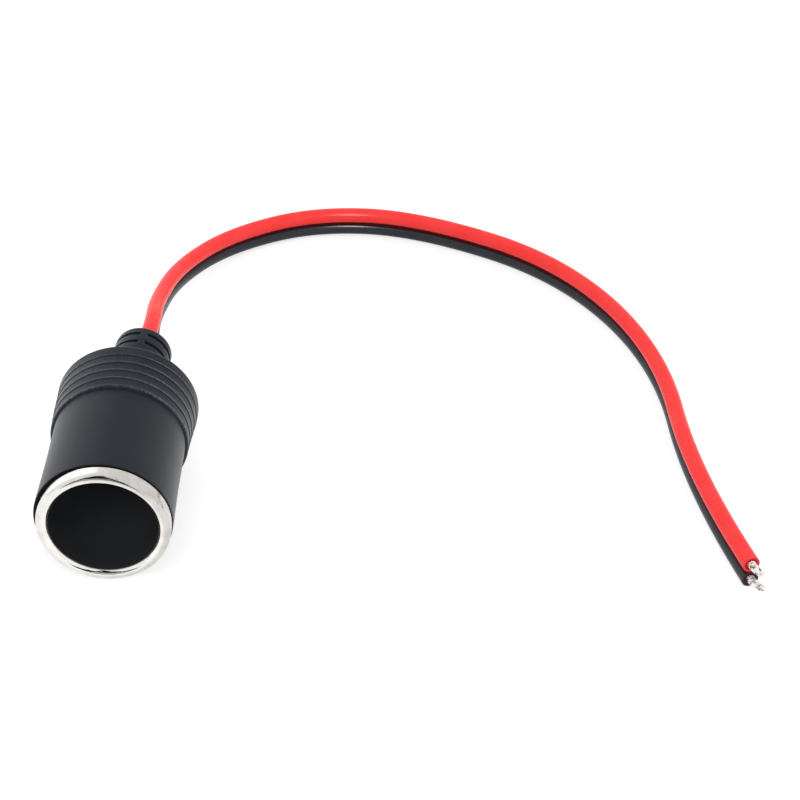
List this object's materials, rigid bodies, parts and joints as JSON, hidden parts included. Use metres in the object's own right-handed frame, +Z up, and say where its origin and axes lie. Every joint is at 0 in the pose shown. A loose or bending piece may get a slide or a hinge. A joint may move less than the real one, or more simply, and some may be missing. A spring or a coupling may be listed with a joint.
{
  "type": "12 v power socket with lead",
  "caption": "Round in-line socket for a 12 V plug: metal-lined bore in a plastic barrel, ringed rear boot with a slotted strain relief, and a twin lead with bare ends.",
  "frame": {"origin": "on the floor, under the middle of the body's length", "axes": "+Z up, +Y from the mouth towards the strain relief, +X to the right seen from the mouth's side; the bore's axis rises 1.9 degrees towards the back"},
  "size_m": [0.1436, 0.1398, 0.029],
  "materials": {
    "nickel": "bright nickel plate",
    "barrel": "semi-matt moulded plastic",
    "boot": "matt soft plastic with moulded rings",
    "insulator": "pressed brown insulating board",
    "brass": "plain pressed brass",
    "tinned": "tin-coated metal",
    "copper": "bare stranded copper",
    "red_insulation": "smooth soft insulation",
    "black_insulation": "smooth soft insulation"
  },
  "bodies": {
    "root": {"socket_shell": "nickel", "front_barrel": "barrel", "rear_boot": "boot", "contact_insulator": "insulator", "rear_washer": "insulator", "centre_contact": "brass", "centre_rivet": "brass", "centre_tag": "tinned", "shell_tag": "tinned", "tag_rivet": "tinned", "centre_solder": "tinned", "shell_solder": "tinned", "red_conductor": "copper", "black_conductor": "copper", "red_core": "red_insulation", "black_core": "black_insulation", "red_bare_end": "tinned", "black_bare_end": "tinned"}
  },
  "joints": []
}
